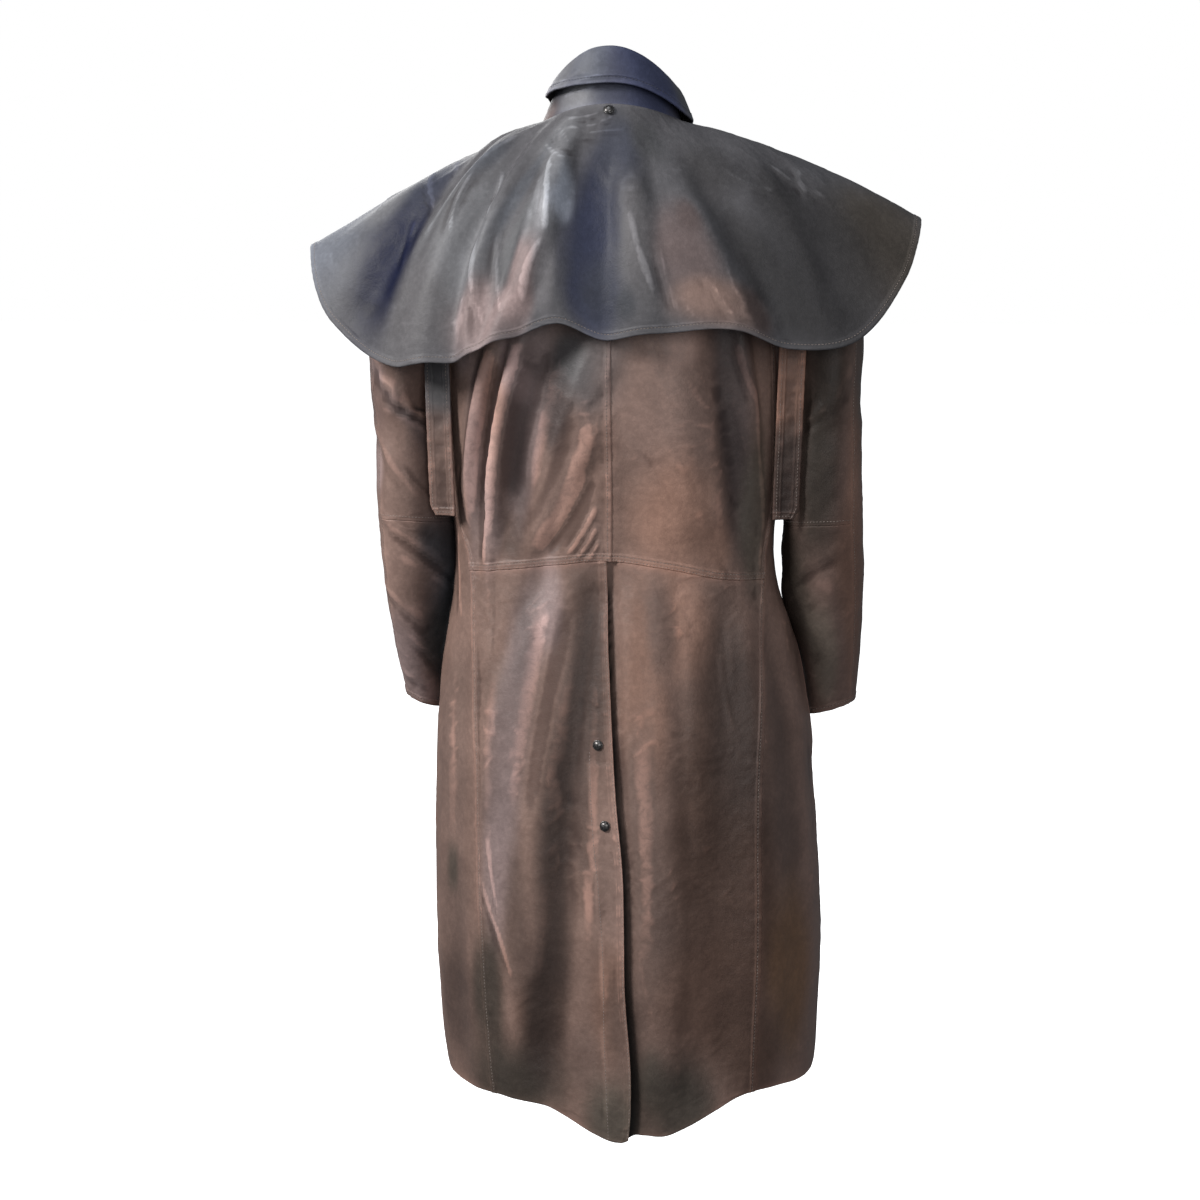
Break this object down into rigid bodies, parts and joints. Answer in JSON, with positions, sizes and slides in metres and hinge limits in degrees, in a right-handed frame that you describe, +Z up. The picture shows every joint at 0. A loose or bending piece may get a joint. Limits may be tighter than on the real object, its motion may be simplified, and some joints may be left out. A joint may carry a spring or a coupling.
{
  "type": "duster coat",
  "caption": "Long leather duster coat with a standing turned-down collar, shoulder cape, waist seam, two-piece sleeves and a lapped back vent, in the hollow form it keeps when worn.",
  "frame": {"origin": "centre of the neck opening at the height of the back neck seam, where the wearer's shoulders hold the coat", "axes": "+Z up; the coat's front faces -Y and its back +Y; +X is the wearer's left"},
  "size_m": [0.7301, 0.3781, 1.2743],
  "materials": {
    "brown_leather": "waxed grey-brown leather with a dull sheen, paler along the seams and worn ridges",
    "sleeve_leather": "waxed grey-brown leather with a dull sheen, darker than the body",
    "collar_leather": "waxed dark brown leather, double layer",
    "cape_leather": "waxed dark grey-brown leather with bluish light on its folds",
    "snap_metal": "dark domed snap caps of blackened metal"
  },
  "bodies": {
    "root": {"back_left": "brown_leather", "back_right": "brown_leather", "back_skirt_left": "brown_leather", "back_skirt_right": "brown_leather", "front_left": "brown_leather", "front_right": "brown_leather", "side_panel_left": "brown_leather", "side_panel_right": "brown_leather", "sleeve_upper_left": "sleeve_leather", "sleeve_under_top_left": "sleeve_leather", "sleeve_under_low_left": "sleeve_leather", "sleeve_upper_right": "sleeve_leather", "sleeve_under_top_right": "sleeve_leather", "sleeve_under_low_right": "sleeve_leather", "back_strap_left": "brown_leather", "back_strap_right": "brown_leather", "collar_stand": "collar_leather", "collar_fall": "collar_leather", "cape": "cape_leather", "neck_snap": "snap_metal", "vent_snap_upper": "snap_metal", "vent_snap_lower": "snap_metal", "front_snap_1": "snap_metal", "front_snap_2": "snap_metal", "front_snap_3": "snap_metal", "front_snap_4": "snap_metal", "front_snap_5": "snap_metal"}
  },
  "joints": []
}
